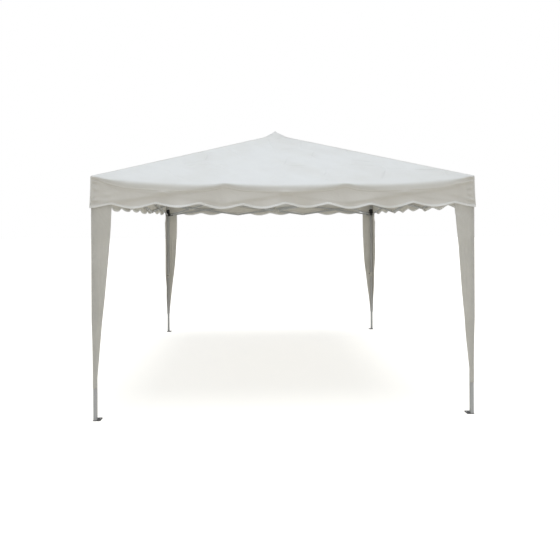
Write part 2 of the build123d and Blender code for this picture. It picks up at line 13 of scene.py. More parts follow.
import bmesh
import bpy
import numpy as np
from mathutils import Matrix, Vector

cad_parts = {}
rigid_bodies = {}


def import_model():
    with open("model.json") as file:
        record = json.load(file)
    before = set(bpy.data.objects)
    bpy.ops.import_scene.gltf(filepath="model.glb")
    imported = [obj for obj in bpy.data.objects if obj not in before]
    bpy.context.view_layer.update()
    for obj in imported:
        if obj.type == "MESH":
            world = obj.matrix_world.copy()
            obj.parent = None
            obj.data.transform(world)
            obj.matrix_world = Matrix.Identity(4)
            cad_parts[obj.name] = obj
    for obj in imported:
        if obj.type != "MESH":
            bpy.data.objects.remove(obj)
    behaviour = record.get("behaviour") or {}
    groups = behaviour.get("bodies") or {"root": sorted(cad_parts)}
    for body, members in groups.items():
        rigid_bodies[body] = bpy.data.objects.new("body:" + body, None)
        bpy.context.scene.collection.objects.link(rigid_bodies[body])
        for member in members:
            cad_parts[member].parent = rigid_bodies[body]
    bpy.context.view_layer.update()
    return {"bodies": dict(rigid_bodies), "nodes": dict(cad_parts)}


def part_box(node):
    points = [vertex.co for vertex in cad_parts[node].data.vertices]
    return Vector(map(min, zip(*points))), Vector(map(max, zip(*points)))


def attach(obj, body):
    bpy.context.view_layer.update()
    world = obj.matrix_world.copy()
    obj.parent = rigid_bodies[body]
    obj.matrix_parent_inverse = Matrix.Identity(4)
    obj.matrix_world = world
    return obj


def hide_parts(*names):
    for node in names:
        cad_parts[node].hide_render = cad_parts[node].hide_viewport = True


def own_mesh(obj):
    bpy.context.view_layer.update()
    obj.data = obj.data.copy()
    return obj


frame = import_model()
LEGS = ["front_left", "front_right", "back_right", "back_left"]
SIDES = ["front", "right", "back", "left"]  # each runs from the leg of its number to the next one

# %% [markdown]
# ## Sizes of the frame
#
# The cloth lies on the frame, so its shape starts from the frame's own pivots. They are read from the
# boxes of a few CAD nodes where that is direct, and the rest are the truss's driving sizes.

# %% Read the sizes that the cloth follows
_, bracket_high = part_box("upper_leg_front_left")
_, cover_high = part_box("canopy_cover")
COVER_HALF = cover_high.x
PEAK = cover_high.z
BRACKET_TOP = bracket_high.z
LEG_HALF = 1.475  # from the middle to a leg's axis
TOP_PIVOT = 1.814  # height of the pivots in the brackets
TRUSS_DEPTH = 0.140  # down to the pivots in the sliders
PIVOT_REACH = 0.060  # from a leg's axis to its pivots
PAIR_RUN = (2 * LEG_HALF - 2 * PIVOT_REACH) / 3  # length of one scissor pair
print(f"cover {2 * COVER_HALF:.3f} m square, peak at {PEAK:.3f} m, bracket top at {BRACKET_TOP:.3f} m")

# %% [markdown]
# ## Small tools
#
# A material is a small graph of nodes. A few helpers keep the graphs short: one turns a written colour
# into the linear numbers that the shader works in, one adds a node with its settings and links, and two
# stretch a value and mix two colours. Another puts a new mesh, camera or lamp in the scene.

# %% Helpers for nodes and objects
def linear(hex_colour, alpha=1.0):
    """An sRGB hex colour as the linear red, green, blue and alpha that a shader reads."""
    parts = [int(hex_colour[i : i + 2], 16) / 255 for i in (1, 3, 5)]
    return [*(p / 12.92 if p <= 0.04045 else ((p + 0.055) / 1.055) ** 2.4 for p in parts), alpha]


def add(tree, kind, links=None, **settings):
    """Adds a node. Settings are its own properties or, by name or number, the values of its inputs.

    Links give, for an input, the output socket that feeds it.
    """
    made = tree.nodes.new(kind)
    inputs = {}
    for key, value in settings.items():
        if hasattr(made, key):
            setattr(made, key, value)
        else:
            inputs[key] = value
    for key, value in inputs.items():
        name = key.replace("_", " ")
        socket = made.inputs[int(name[3:])] if name.startswith("in ") else made.inputs[name]
        socket.default_value = value
    for key, source in (links or {}).items():
        tree.links.new(source, made.inputs[key])
    return made


def ranged(tree, value, low, high, **settings):
    """The value with low to high stretched to 0 to 1."""
    limits = {"From_Min": low, "From_Max": high, **settings}
    return add(tree, "ShaderNodeMapRange", {"Value": value}, **limits).outputs[0]


def mixed(tree, share, *colours):
    """A colour between two, each one written or given by a socket."""
    links, settings = {"Factor": share}, {"data_type": "RGBA"}
    for number, colour in zip((6, 7), colours):
        if isinstance(colour, str):
            settings[f"in_{number}"] = linear(colour)
        else:
            links[number] = colour
    return add(tree, "ShaderNodeMix", links, **settings).outputs[2]


def stand(name, data):
    """A new object with this mesh, camera or lamp, linked to the scene, at the origin and unturned."""
    made = bpy.data.objects.new(name, data)
    bpy.context.scene.collection.objects.link(made)
    return made


def new_material(name):
    """An empty node material and its tree."""
    material = bpy.data.materials.new(name)
    material.use_nodes = True
    material.node_tree.nodes.clear()
    return material, material.node_tree


print("middle grey as a linear colour:", linear("#808080"))

# %% [markdown]
# ## Coated polyester
#
# The cover is polyester cloth, woven from thread about half a millimetre apart and coated on one side
# against rain. The eye reads a soft, slightly chalky white, a faint weave close by, and broad stains
# of dust where it was folded. Held against the sky it glows a little, so part of the shader is
# Translucent. The patterns read the sheet's own map, which is laid out in metres, so the weave stays
# on the cloth when the frame folds. The weave is drawn at 2 mm, coarser than the real thread, because
# thread at its real size would vanish in a view of a whole canopy.

# %% Cover cloth
WEAVE_MM = 2.0
ROOF_MAP, BEND_MAP, VALANCE_MAP = 1.65, 0.05, 0.16  # metres down the map; they count downwards from 0


def coated_polyester(name, colour, dust_colour, crease_strength=0.35, glow=0.3, folded=0.0, valance=None):
    """Glow is the share of light let through, folded the strength of storage creases on a roof, valance a
    greyer, warmer colour painted on the valance as shade.
    """
    material, tree = new_material(name)
    place = add(tree, "ShaderNodeUVMap", uv_map="cloth").outputs["UV"]
    scale = pi / (10 * WEAVE_MM / 1000)  # a band repeats every pi / (10 * scale) metres
    band = {"wave_type": "BANDS", "Scale": scale, "Distortion": 0.6, "Detail": 1.0}
    threads = [add(tree, "ShaderNodeTexWave", {0: place}, bands_direction=way, **band) for way in "XY"]
    crossed = {i: threads[i].outputs["Fac"] for i in (0, 1)}
    weave = add(tree, "ShaderNodeMath", crossed, operation="MULTIPLY").outputs[0]
    dust = add(tree, "ShaderNodeTexNoise", {0: place}, Scale=1.7, Detail=5.0, Roughness=0.62).outputs["Fac"]
    base = mixed(tree, ranged(tree, dust, 0.42, 0.72), colour, dust_colour)
    down = add(tree, "ShaderNodeSeparateXYZ", {0: place}).outputs["Y"]
    if valance:  # painted shade: the valance, under the eave, is drawn greyer and warmer than the roof
        base = mixed(tree, ranged(tree, down, -1.66, -1.72), base, valance)
    rough = {"Scale": 9.0, "Detail": 6.0, "Roughness": 0.55, "Distortion": 0.4}
    crease = add(tree, "ShaderNodeTexNoise", {0: place}, **rough).outputs["Fac"]
    # storage leaves sharp straight creases: the borders of large cells, where the dust lies on the roof
    cells = add(tree, "ShaderNodeTexVoronoi", {0: place}, feature="DISTANCE_TO_EDGE", Scale=2.3).outputs[0]
    line = ranged(tree, cells, 0, 0.03)
    dusty, roof = ranged(tree, dust, 0.42, 0.58), ranged(tree, down, -1.62, -1.50)
    where = add(tree, "ShaderNodeMath", {0: dusty, 1: roof}, operation="MULTIPLY").outputs[0]
    pressed = add(tree, "ShaderNodeMix", {"Factor": where, "B": line}, data_type="FLOAT", A=1.0).outputs[0]
    normal = {}
    for height, strength, metres in (
        (weave, 0.12, 0.0006), (pressed, folded, 0.004), (crease, crease_strength, 0.012)
    ):
        links = {"Height": height, **normal}
        bump = add(tree, "ShaderNodeBump", links, Strength=strength, Distance=metres)
        normal = {"Normal": bump.outputs["Normal"]}
    shine = {"Roughness": 0.78, "IOR": 1.5, "Sheen_Weight": 0.12, "Sheen_Roughness": 0.45}
    face = add(tree, "ShaderNodeBsdfPrincipled", {"Base Color": base, **normal}, **shine)
    behind = add(tree, "ShaderNodeBsdfTranslucent", {"Color": base, **normal})
    both = add(tree, "ShaderNodeMixShader", {1: face.outputs[0], 2: behind.outputs[0]}, in_0=glow)
    add(tree, "ShaderNodeOutputMaterial", {"Surface": both.outputs[0]})
    return material


roof_cloth = coated_polyester(
    "coated_polyester_cover",
    "#F0F0ED",
    "#EAE9E4",
    crease_strength=0.3,
    glow=0.2,
    folded=1.0,
    # the valance's colour, greyer and warmer than the roof's, is painted shade
    valance="#EBE8E1",
)
# the drapes are the cover's cloth drawn greyer and warmer: painted shade
shaded_drape_cloth = coated_polyester("coated_polyester_drape_painted_shade", "#E6E4DE", "#D9D7D0", crease_strength=0.5)
tape_cloth = coated_polyester("white_binding_tape", "#F8F8F6", "#EEEDE9", crease_strength=0.2, glow=0.0)
# the eave seam takes the valance's greyer, warmer colour, which is painted shade
eave_cloth = coated_polyester("coated_polyester_eave_seam", "#EBE8E1", "#E5E1D8", 0.2, glow=0.1)
seam_cloth = coated_polyester("coated_polyester_seam", "#F0F0ED", "#EAE9E4", 0.2, glow=0.1)
print(len(bpy.data.materials), "finishes so far, after the cloths")

# %% [markdown]
# ## Steel, zinc and nylon
#
# The tubes are steel under a baked light grey powder coat: even colour, a low gloss that is broken by
# the fine orange peel of the powder, and a few rubs. The rivets are bright zinc. The brackets, collars,
# plugs and hub are moulded in light grey nylon and the sliders in black: matt, with the fine grain of a
# spark-eroded mould. One function makes them all, as they differ in colours, gloss and grain only.

# %% Hard finishes
def grained(name, colour, worn, roughness, grain_per_metre, grain_mm, metallic=0.0, wear=0.25):
    """A hard surface: colour that drifts a little, a fine grain in the bump, uneven gloss."""
    material, tree = new_material(name)
    place = add(tree, "ShaderNodeTexCoord").outputs["Object"]
    patches = add(tree, "ShaderNodeTexNoise", {0: place}, Scale=14.0, Detail=6.0, Roughness=0.7).outputs[0]
    base = mixed(tree, ranged(tree, patches, 0.5, 0.75, To_Max=wear), colour, worn)
    gloss = ranged(tree, patches, 0.3, 0.7, To_Min=roughness - 0.06, To_Max=roughness + 0.08)
    grain = add(tree, "ShaderNodeTexNoise", {0: place}, Scale=grain_per_metre, Detail=2.0).outputs[0]
    bump = add(tree, "ShaderNodeBump", {"Height": grain}, Strength=0.3, Distance=grain_mm / 1000)
    links = {"Base Color": base, "Roughness": gloss, "Normal": bump.outputs[0]}
    surface = add(tree, "ShaderNodeBsdfPrincipled", links, Metallic=metallic)
    add(tree, "ShaderNodeOutputMaterial", {"Surface": surface.outputs[0]})
    return material


grey_coat = grained("light_grey_powder_coat", "#BBBCBC", "#9FA09F", 0.42, 900.0, 0.15)
black_plate = grained("black_coated_plate", "#2A2A2B", "#4A4845", 0.5, 700.0, 0.2, wear=0.5)
zinc = grained("zinc_plated_rivet", "#B9BBBD", "#9A9B9C", 0.34, 1500.0, 0.05, metallic=1.0)
black_nylon = grained("moulded_black_nylon", "#161617", "#26262A", 0.55, 1400.0, 0.12)
thread = grained("polyester_thread", "#E4E1D9", "#DAD7CF", 0.8, 800.0, 0.1)
grey_nylon = grained("moulded_grey_nylon", "#CFCDC7", "#B9B7B1", 0.55, 1400.0, 0.12)
print(len(bpy.data.materials), "finishes in all")

# %% [markdown]
# ## From CAD nodes to dressed pieces
#
# A CAD bar is one node, but it holds a steel tube, nylon plugs and washers, and zinc rivets. Each is a
# loose island of triangles, so a copy of the node's mesh is merged, split into its islands, and the
# islands are sorted by size. Each group becomes one piece with its own finish.

# %% Split a CAD node into islands
def islands(node):
    """A CAD node's loose parts, each as (list of faces as vertex numbers, points, low, high)."""
    copy = bmesh.new()
    copy.from_mesh(frame["nodes"][node].data)
    bmesh.ops.remove_doubles(copy, verts=copy.verts, dist=2e-6)
    copy.verts.index_update()
    seen, found = set(), []
    for start in copy.verts:
        if start in seen:
            continue
        stack, group = [start], []
        seen.add(start)
        while stack:
            vertex = stack.pop()
            group.append(vertex)
            for edge in vertex.link_edges:
                other = edge.other_vert(vertex)
                if other not in seen:
                    seen.add(other)
                    stack.append(other)
        index = {vertex: i for i, vertex in enumerate(group)}
        faces = {face for vertex in group for face in vertex.link_faces}
        points = np.array([vertex.co for vertex in group])
        polygons = [[index[v] for v in face.verts] for face in sorted(faces, key=lambda f: f.index)]
        if polygons:
            found.append((polygons, points, points.min(0), points.max(0)))
    copy.free()
    return found


print(len(islands("scissor_front_1_falling")), "islands in one bar")

# %% [markdown]
# A piece is made from its islands' points and faces. The flat fields of triangles are joined into
# larger faces, and only edges that bend less than about 30 degrees are shaded smooth, so that a tube
# keeps crisp ends and round corners.


# %% Make one dressed piece
def hand_over(piece, body, node=None):
    """Puts the piece on the body that it rides on, and hides the CAD node that it stands for, if one is
    given.
    """
    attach(piece, body)
    if node:
        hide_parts(node)


def dress(name, groups, body, node=None, sharp_degrees=32.0):
    """One piece from groups of islands, each group with its material; it rides on a body."""
    points, polygons, material_numbers = [], [], []
    materials = []
    for material, parts in groups:
        if not parts:
            continue
        materials.append(material)
        for faces, places, _, _ in parts:
            start = len(points)
            points.extend(places.tolist())
            polygons.extend([[start + i for i in face] for face in faces])
            material_numbers.extend([len(materials) - 1] * len(faces))
    mesh = bpy.data.meshes.new(name)
    mesh.from_pydata(points, [], polygons)
    for material in materials:
        mesh.materials.append(material)
    mesh.polygons.foreach_set("material_index", material_numbers)
    shaped = bmesh.new()
    shaped.from_mesh(mesh)
    bmesh.ops.dissolve_limit(
        shaped, angle_limit=radians(0.5), verts=shaped.verts, edges=shaped.edges, delimit={"MATERIAL"}
    )
    for face in shaped.faces:
        face.smooth = True
    for edge in shaped.edges:
        edge.smooth = edge.is_manifold and edge.calc_face_angle(0.0) < radians(sharp_degrees)
    shaped.to_mesh(mesh)
    shaped.free()
    piece = stand(name, mesh)
    hand_over(piece, body, node)
    return piece


def longest(part):
    """The diagonal of an island's box."""
    return float(np.linalg.norm(part[3] - part[2]))


print(f"a slider fits a box with a diagonal of {max(map(longest, islands('slider_front_left'))):.3f} m")

# %% [markdown]
# ## Bars
#
# The tube is the longest island. A rivet is a small island that stands across the bar; washers are
# thin rings, and plugs are what remains: about 40 mm long with a round head.

# %% Dress the bars
bar_names = [
    f"scissor_{side}_{pair}_{kind}" for side in SIDES for pair in (1, 2, 3) for kind in ("falling", "rising")
]
bar_names += [f"corner_{kind}_{leg}" for leg in LEGS for kind in ("strut", "bar_outer", "bar_inner")]
PLUG_LENGTH = 0.030  # plugs are longer than this, rivets and washers shorter
WASHER_BORE = 0.0028  # no point of a washer lies nearer its middle
WASHER_BOX = 0.0225  # the longest diagonal of a washer's box
WASHER_WIDTH = 0.0045  # the most between its bore and its rim


def is_washer(part):
    """Washers are rings, so no point of one is near its middle; a rivet has points on its axis."""
    _, places, low, high = part
    from_middle = np.linalg.norm(places - (low + high) / 2, axis=1)
    ring = from_middle.min() > WASHER_BORE and np.ptp(from_middle) < WASHER_WIDTH
    return ring and longest(part) < WASHER_BOX


count = 0
for name in bar_names:
    parts = sorted(islands(name), key=longest)
    tube = parts[-1]
    plugs = [p for p in parts[:-1] if longest(p) > PLUG_LENGTH]
    small = [p for p in parts[:-1] if longest(p) <= PLUG_LENGTH]
    washers = [p for p in small if is_washer(p)]
    rivets = [p for p in small if not is_washer(p)]
    dress(f"{name}_tube", [(grey_coat, [tube]), (zinc, rivets)], name, node=name)
    dress(f"{name}_ends", [(grey_nylon, plugs + washers)], name)
    count += len(parts)
print(f"{len(bar_names)} bars dressed from {count} islands")

# %% [markdown]
# ## Legs, peak pole and mouldings
#
# A leg's longest island is its tube; the rest are its mouldings or its glide. The foot plate is welded
# to the lower tube and so part of the same island, and its faces are told by their height. Every
# moulding that is a node of its own is one piece with one finish.

# %% Dress the legs, the peak pole and the mouldings
FOOT_TOP = 0.0031  # the plate is 3 mm thick
BOLT_BELOW = 2.0  # of the pole's small islands, the bolt is below this height and the bush above

for leg in LEGS:
    name = f"upper_leg_{leg}"
    parts = sorted(islands(name), key=longest)
    dress(f"{name}_tube", [(grey_coat, [parts[-1]])], name, node=name)
    dress(f"{name}_mouldings", [(grey_nylon, parts[:-1])], name)
    name = f"lower_leg_{leg}"
    parts = sorted(islands(name), key=longest)
    faces, places, low, high = parts[-1]
    foot = [f for f in faces if max(places[i][2] for i in f) < FOOT_TOP]
    rest = [f for f in faces if max(places[i][2] for i in f) >= FOOT_TOP]
    groups = [(grey_coat, [(rest, places, low, high)]), (black_plate, [(foot, places, low, high)])]
    dress(f"{name}_tube", groups, name, node=name)
    dress(f"{name}_glide", [(grey_nylon, parts[:-1])], name)
parts = sorted(islands("peak_pole"), key=longest)
dress("peak_pole_tube", [(grey_coat, [parts[-1]])], "hub", node="peak_pole")
bolt = [p for p in parts[:-1] if p[2][2] < BOLT_BELOW]
bush = [p for p in parts[:-1] if p[2][2] >= BOLT_BELOW]
dress("peak_pole_bolt", [(zinc, bolt)], "hub")
dress("peak_pole_bush", [(grey_nylon, bush)], "hub")
moulded = ["center_hub", "peak_cap"]
moulded += [f"{kind}_{leg}" for leg in LEGS for kind in ("slider", "slider_button", "leg_button")]
for name in moulded:
    body = "hub" if name == "center_hub" else name
    black = "slider" in name or "button" in name
    finish, slot = (black_nylon, "black_nylon") if black else (grey_nylon, "grey_nylon")
    dress(f"{name}_moulding", [(finish, islands(name))], body, node=name)
print(len(moulded), "mouldings dressed")

# %% [markdown]
# ## The shape of the cover
#
# The cover is one sheet: four roof panels that meet at the hips, a soft bend at the eaves and a
# scalloped valance. It touches the frame only at the peak, the four brackets and the top pivots, so it
# dips between them. Each side is worked out once, as a function of two numbers: how far along the
# side, and how far from the peak to the hem. The same function turned three times makes the whole.
#
# A simulation could hang the cloth, but the sag of a taut cover is small and its lines are known, so
# the function is quicker, repeats exactly and keeps the seams where they are sewn.

# %% Heights along the eaves
OUT = 0.003  # the valance hangs this far outside the faces of the CAD cover
VALANCE_HALF = COVER_HALF + OUT
HIP_PEAK = PEAK - 0.040  # where the four hips would meet
TIP = PEAK + 0.001  # the cloth's point, on the pole's cap
CORNER = BRACKET_TOP + 0.006
JUNCTION = TOP_PIVOT + 0.0125  # cloth over a top pivot between two pairs
TAUT_EAVE = 1.806  # the eave's height between those pivots, if it had no dips
HEM = 1.664  # the cusps between the scallops
SCALLOPS = 9
SCALLOP_DEPTH = 0.033
BACK_HEM_RISE = 0.042  # the cover sits a little forward, which lifts its hem at the back
junction_at = LEG_HALF - PIVOT_REACH - PAIR_RUN
from_corner = [0, 0.042, 0.075, 0.12, 0.22, 0.36, 0.55, 0.72, 0.86, 0.96]
from_corner = np.array(from_corner + [1.0243, 1.09, 1.2, 1.35, 1.5])
over_leg = [CORNER, CORNER - 0.001, 1.868, 1.858, 1.845, 1.832, 1.820, 1.8145, 1.8155, 1.8200]
over_pivot = [JUNCTION, 1.8210, 1.8145, 1.8090, 1.8075]
eave_heights = np.array(over_leg + over_pivot)


def unit(values):
    """The values, held between 0 and 1."""
    return np.clip(values, 0, 1)


def smooth_table(x, xs, ys):
    """A smooth line through a table of points, by cubic pieces that don't overshoot."""
    slopes = np.gradient(ys, xs)
    steps = np.diff(ys) / np.diff(xs)
    for i in range(1, len(xs) - 1):
        if steps[i - 1] * steps[i] <= 0:
            slopes[i] = 0.0
    i = np.clip(np.searchsorted(xs, x) - 1, 0, len(xs) - 2)
    width = xs[i + 1] - xs[i]
    t = unit((x - xs[i]) / width)
    return (
        ys[i] * (1 + 2 * t) * (1 - t) ** 2
        + slopes[i] * width * t * (1 - t) ** 2
        + ys[i + 1] * t**2 * (3 - 2 * t)
        + slopes[i + 1] * width * t**2 * (t - 1)
    )


def eave_height(a):
    """The eave at a along a side, measured from the side's middle."""
    return smooth_table(VALANCE_HALF - np.abs(a), from_corner, eave_heights)


def taut_height(a):
    """The eave without its dips: the plane that the roof panel makes for."""
    past = unit((np.abs(a) - junction_at) / (VALANCE_HALF - junction_at))
    return TAUT_EAVE + (CORNER - TAUT_EAVE) * past**1.6


def hem_height(side, a):
    """Scallops: lowest at each ninth of the side and at the corners, with soft cusps between them.

    No hem hangs quite level, so it drifts a few millimetres along each side.
    """
    way = (a + VALANCE_HALF) / (2 * VALANCE_HALF)
    u = 2 * np.abs(way * SCALLOPS - np.round(way * SCALLOPS))
    rise = 0.55 * u**2 + 0.45 * (1 - np.cos(pi * u)) / 2
    back = (0.0, way, 1.0, 1 - way)[side]
    free = unit((VALANCE_HALF - np.abs(a)) / 0.25)
    drift = 0.009 * (2 * way - 1) ** 2 - 0.004 + 0.006 * free * np.sin(6.5 * a + 0.8 + 1.7 * side)
    return HEM - SCALLOP_DEPTH * (1 - rise) + BACK_HEM_RISE * back + drift


print(f"eave at the middle of a side {eave_height(0.0):.4f} m, hem there {hem_height(0, 0.0):.4f} m")

# %% [markdown]
# Beside the legs, creases fan out from the bracket and from the slider, where the cloth is pulled tight
# over the corner. They could be sculpted, but a short table gives every corner its own and can be read.

# %% Creases at the corners
CORNER_CREASES = [  # height at the corner, slope, length, depth
    (1.858, -0.20, 0.150, 0.0125),
    (1.826, -0.24, 0.180, 0.0130),
    (1.780, -0.60, 0.220, 0.0050),
    (1.670, 0.02, 0.170, 0.0130),
    (1.676, 0.22, 0.280, 0.0060),
    (1.690, 0.75, 0.200, 0.0045),
]
rng = np.random.default_rng(7)
crease_fans = []  # one list for each side: (from which end, start height, slope, length, depth)
for side in range(4):
    fan = []
    for end in (-1, 1):
        for start_height, slope, length, depth in CORNER_CREASES:
            vary = rng.uniform(0.8, 1.2, 4)
            start_height = start_height + 0.008 * (vary[3] - 1)
            fan.append((end, start_height, slope * vary[0], length * vary[1], depth * vary[2]))
    crease_fans.append(fan)
print(sum(map(len, crease_fans)), "creases")

# %% [markdown]
# The bars of each scissor pair press lines into the valance: one line falls from the bracket, one rises
# from the slider, and where they cross the rivet makes a small pucker. They are smooth bumps in the
# function, so they stay true to the bars. The free hem waves in and out with its scallops.


# %% Marks of the bars, and waves of the hem
def most_pull(from_leg):
    """How far the valance can be pulled in: the bracket, its ears and the bars stand close behind it."""
    return np.interp(from_leg, (0.043, 0.050, 0.100, 0.130), (0.0035, 0.0055, 0.0055, 0.0112))


def bar_marks(side, a, z):
    """How far the valance stands out of its plane, at a along a side and height z."""
    along = a + LEG_HALF
    pair = np.clip(np.floor((along - PIVOT_REACH) / PAIR_RUN), 0, 2)
    x = along - PIVOT_REACH - pair * PAIR_RUN
    slope = TRUSS_DEPTH / PAIR_RUN
    falling = z - (TOP_PIVOT - slope * x)
    rising = z - (TOP_PIVOT - TRUSS_DEPTH + slope * x)
    pull = 0.0
    for over, depth in ((rising, 0.0075), (falling, 0.0030)):  # the rising bars press harder
        soft = np.where(over > 0, 0.050, 0.016)  # the cloth leans on a bar and drops away below it
        pull -= depth * (1 - np.exp(-((over / soft) ** 2)))
    # the rivet at the crossing pushes a small bump out, with a pit under it
    across = x - PAIR_RUN / 2
    level = z - (TOP_PIVOT - TRUSS_DEPTH / 2)
    pull += 0.0095 * np.exp(-((across / 0.028) ** 2) - ((level - 0.012) / 0.011) ** 2)
    pull -= 0.0085 * np.exp(-((across / 0.036) ** 2) - ((level + 0.012) / 0.010) ** 2)
    from_leg = VALANCE_HALF - np.abs(a)
    free = unit((from_leg - 0.041) / 0.03)
    pull = pull * free * free * (3 - 2 * free)
    for end, start_height, line, length, depth in crease_fans[side]:
        distance = np.where(np.sign(a) == end, from_leg - 0.012, 9.0)
        off = (z - start_height - line * distance) / hypot(1, line)
        reach = unit(distance / length)
        fade = unit(distance / 0.025) * (1 - reach) ** 1.2
        width = 0.0085 + 0.05 * unit(distance)
        pull -= depth * fade * np.exp(-((off / width) ** 2))
        pull += 0.75 * depth * fade * np.exp(-(((off - 1.9 * width) / width) ** 2))
    return np.maximum(pull, -most_pull(from_leg))


def flutes(side, a, z):
    """The free hem waves in and out with its scallops."""
    top = 1.745
    down = np.clip((top - z) / (top - HEM), 0, 1.5)
    share = (a + VALANCE_HALF) / (2 * VALANCE_HALF) * SCALLOPS
    phase = 0.9 * np.sin(side * 2.1 + share * 0.8)
    wave = np.sin(2 * pi * share + phase) * 0.6 + 0.4 * np.sin(2 * pi * share * 0.53 + side + 1.0)
    hold = unit((VALANCE_HALF - np.abs(a) - 0.05) / 0.25)
    return down**1.6 * hold * (0.011 * wave + 0.004)


print("marks in the first pair, metres:", bar_marks(0, -1.0, np.linspace(1.70, 1.80, 5)).round(4))

# %% [markdown]
# Far from the edges the roof is taut. What shows is a slight sag between the hips, long soft pulls
# from the hips towards the eaves, and the sharp tip where the pole's cap lifts the middle.


# %% Roof and bend
def roof_height(side, a, t):
    """The roof at share t from the peak, above the point of the side at a."""
    height = HIP_PEAK + (taut_height(a) - HIP_PEAK) * t
    dip = eave_height(a) - taut_height(a)
    height = height + dip * unit(t) ** 11
    away = 1 - (np.abs(a) / VALANCE_HALF) ** 2
    height = height - 0.016 * 4 * t * (1 - t) * away
    tip = unit(1 - t / 0.085)
    height = height + (TIP - HIP_PEAK) * tip**1.15
    x, y = a * t, VALANCE_HALF * t
    pulls = (
        0.0022 * np.sin(11.0 * x + 17.0 * y + side)
        + 0.0016 * np.sin(23.0 * x - 9.0 * y + 2.0 * side)
        + 0.0012 * np.sin(-31.0 * x + 27.0 * y + 4.0 * side)
    )
    return height + pulls * away * unit(t * 4) * unit((1 - t) * 8)


def bend_radius(a):
    """The cloth turns sharply over the brackets and pivots, and softly between them."""
    from_leg = VALANCE_HALF - np.abs(a)
    near_pivot = np.exp(-(((np.abs(a) - junction_at) / 0.09) ** 2))
    soft = unit((from_leg - 0.04) / 0.22)
    return 0.006 + 0.029 * soft * (1 - 0.6 * near_pivot)


print(f"the cloth bends by {bend_radius(0.0):.4f} m at the middle, {bend_radius(LEG_HALF):.4f} m at a leg")

# %% [markdown]
# One function gives any point of the cover. Its row tells how far down the point is, so the seams, the
# binding and the stitches can ask for their own points later and will lie on the same surface.

# %% Points of one side
EDGE_ROUND = 0.014  # the cloth's bend round a corner, seen from above
HEM_FLARE = 0.007  # the stiff hem stands away from the drapes


def cover_points(side, a, row):
    """Points of one side. row runs 0 to 1 on the roof, 1 to 2 round the eave, 2 to 3 to the hem."""
    a, row = np.broadcast_arrays(np.asarray(a, float), np.asarray(row, float))
    radius = bend_radius(a)
    top = eave_height(a)
    last = 1 - radius / VALANCE_HALF
    t = np.where(row < 1, row, 1.0) * last
    roof_z = roof_height(side, a, t)
    q = unit(row - 1)
    start_z = roof_height(side, a, last)
    bend_out = VALANCE_HALF * (last * (1 - q) ** 2 + 2 * q * (1 - q) + q**2)
    bend_z = start_z * (1 - q) ** 2 + 2 * q * (1 - q) * top + q**2 * (top - radius)
    v = unit(row - 2)
    fall_z = (top - radius) + (hem_height(side, a) - (top - radius)) * v
    hanging = VALANCE_HALF + HEM_FLARE * v**2
    out = np.where(row <= 1, VALANCE_HALF * t, np.where(row <= 2, bend_out, hanging))
    z = np.where(row <= 1, roof_z, np.where(row <= 2, bend_z, fall_z))
    spread = np.where(row <= 1, t, out / VALANCE_HALF)
    x, y = a * spread, out
    # the corner, seen from above, is a small arc
    limit = np.maximum(y - EDGE_ROUND, 0)
    over = unit((np.abs(x) - limit) / EDGE_ROUND)
    turn = over * pi / 4
    corner = over > 0
    x = np.where(corner, np.sign(x) * (limit + EDGE_ROUND * np.sin(turn)), x)
    y = np.where(corner, limit + EDGE_ROUND * np.cos(turn), y)
    marks = bar_marks(side, a, z) * np.clip(row - 1.4, 0, 0.6) / 0.6 + flutes(side, a, z) * (row > 2)
    y = y + marks
    x = x + np.where(np.abs(a) > VALANCE_HALF - 0.002, np.sign(a) * marks, 0)
    turned = side * pi / 2
    return np.stack([x * cos(turned) + y * sin(turned), x * sin(turned) - y * cos(turned), z], -1)


print("front panel half way down and at its hem:", cover_points(0, 0.0, [0.5, 3.0]).round(3).tolist())

# %% [markdown]
# The sheet's columns crowd at the corners, where the cloth bends tightly, and its rows crowd at the
# eave, so that the faces are small only where the shape needs it.

# %% Columns and rows
corner_steps = np.array([0.0, 0.0035, 0.007, 0.0105, 0.014, 0.019, 0.026, 0.035, 0.046, 0.06])
middle_steps = np.linspace(0.078, VALANCE_HALF, 62)
from_edge = np.concatenate([corner_steps, middle_steps])
columns = np.concatenate([from_edge - VALANCE_HALF, (VALANCE_HALF - from_edge)[-2::-1]])


def rows_down(roof, bend, valance, last=1.0):
    """Rows from the roof to the hem: the roof's own, then even steps round the bend and down to last."""
    return np.concatenate([roof, 1 + np.linspace(0, 1, bend)[1:], 2 + np.linspace(0, last, valance)[1:]])


near_peak = [0.012, 0.025, 0.04, 0.055, 0.07, 0.085]
rows = rows_down(np.concatenate([near_peak, np.linspace(0.1, 1.0, 30)]), 7, 37)
print(len(rows), "rows and", 4 * (len(columns) - 1), "columns")

# %% [markdown]
# Faces join the four sides without a gap, so the roof, the bend and the valance are one mesh. Each face
# also gets its corners on the map, laid out in metres, which the weave of the material reads.

# %% Faces and map
MAP_STEP = 3.2  # on the map the four sides lie next to each other, this far apart


def grid_faces(wide, long, map_of, sides=1):
    """Faces of rows of points and their corners on the map; four sides close into a ring."""
    faces, uvs = [], []
    for r in range(long - 1):
        for c in range(wide if sides > 1 else wide - 1):
            n = (c + 1) % wide
            side, j = divmod(c, wide // sides)
            faces.append((r * wide + c, (r + 1) * wide + c, (r + 1) * wide + n, r * wide + n))
            corners = (r, j), (r + 1, j), (r + 1, j + 1), (r, j + 1)
            uvs.append([map_of(side, *corner) for corner in corners])
    return faces, uvs


per_side = len(columns) - 1
points = np.concatenate([cover_points(side, columns[None, :-1], rows[:, None]) for side in range(4)], 1)
points = points.reshape(-1, 3).tolist()
parts = ((0, ROOF_MAP), (1, BEND_MAP), (2, VALANCE_MAP))
down = sum(unit(rows - start) * metres for start, metres in parts)
narrow = unit(rows)


def cover_map(side, i, j):
    """The map at row i and column j of a side, in metres."""
    return columns[j] * narrow[i] + MAP_STEP * side, -down[i]


